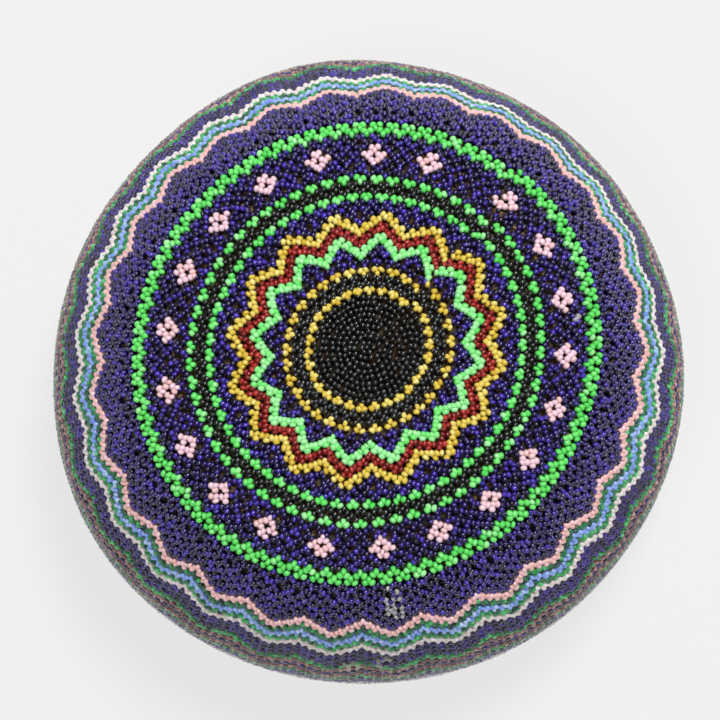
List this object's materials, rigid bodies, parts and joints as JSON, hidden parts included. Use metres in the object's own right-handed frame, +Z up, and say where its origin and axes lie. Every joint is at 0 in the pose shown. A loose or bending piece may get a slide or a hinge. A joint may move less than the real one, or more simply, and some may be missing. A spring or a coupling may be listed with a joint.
{
  "type": "beaded basket",
  "caption": "Round coiled basket with an incurved rim, covered all over by a net of glass seed beads in rings, a star, flowers and waves; stored mouth down.",
  "frame": {"origin": "on the basket's axis, in the plane of the rim that it rests on", "axes": "+Z up along the basket's axis from the rim towards its bottom, which is uppermost; +X and +Y across, with the one wide gap in the ring of flowers about 60 degrees round from +X towards +Y"},
  "size_m": [0.18, 0.18, 0.0868],
  "materials": {
    "coiled_fibre": "dry plant fibre sewn in coils",
    "lashing_strand": "split plant strand",
    "thread": "waxed cotton thread",
    "black_beads": "glossy glass seed beads",
    "yellow_beads": "glossy glass seed beads",
    "purple_beads": "glossy glass seed beads",
    "green_beads": "glossy glass seed beads",
    "dark_green_beads": "glossy glass seed beads",
    "red_beads": "glossy glass seed beads",
    "pink_beads": "glossy glass seed beads",
    "rose_beads": "glossy glass seed beads",
    "blue_beads": "glossy glass seed beads",
    "white_beads": "glossy glass seed beads"
  },
  "bodies": {
    "root": {"start_knot": "coiled_fibre", "base_coils": "coiled_fibre", "shoulder_coils": "coiled_fibre", "wall_coils": "coiled_fibre", "neck_coils": "coiled_fibre", "rim_coil": "coiled_fibre", "rim_lashing": "lashing_strand", "net_thread": "thread", "beads_black_centre": "black_beads", "beads_yellow_inner_ring": "yellow_beads", "beads_black_ring": "black_beads", "beads_yellow_outer_ring": "yellow_beads", "beads_purple_inner_field": "purple_beads", "beads_star_green": "green_beads", "beads_star_red": "red_beads", "beads_star_yellow": "yellow_beads", "beads_purple_ring_field": "purple_beads", "beads_green_inner_ring": "green_beads", "beads_black_band": "black_beads", "beads_green_outer_ring": "green_beads", "beads_purple_flower_field": "purple_beads", "beads_pink_flowers": "pink_beads", "beads_green_wide_ring": "green_beads", "beads_purple_wide_zone": "purple_beads", "beads_pink_wave": "pink_beads", "beads_dark_green_wave_a": "dark_green_beads", "beads_blue_wave": "blue_beads", "beads_dark_green_wave_b": "dark_green_beads", "beads_white_wave": "white_beads", "beads_purple_wave_zone": "purple_beads", "beads_green_wave_c": "dark_green_beads", "beads_rose_wave_a": "rose_beads", "beads_purple_wave_b": "purple_beads", "beads_rose_wave_b": "rose_beads", "beads_green_wave_d": "dark_green_beads", "beads_purple_belly_zone": "purple_beads", "beads_white_lower_wave": "white_beads", "beads_dark_green_lower_wave_a": "dark_green_beads", "beads_blue_lower_wave": "blue_beads", "beads_dark_green_lower_wave_b": "dark_green_beads", "beads_pink_lower_wave": "pink_beads", "beads_purple_lower_zone": "purple_beads", "beads_purple_neck_zone": "purple_beads", "beads_rim_edge": "black_beads"}
  },
  "joints": []
}
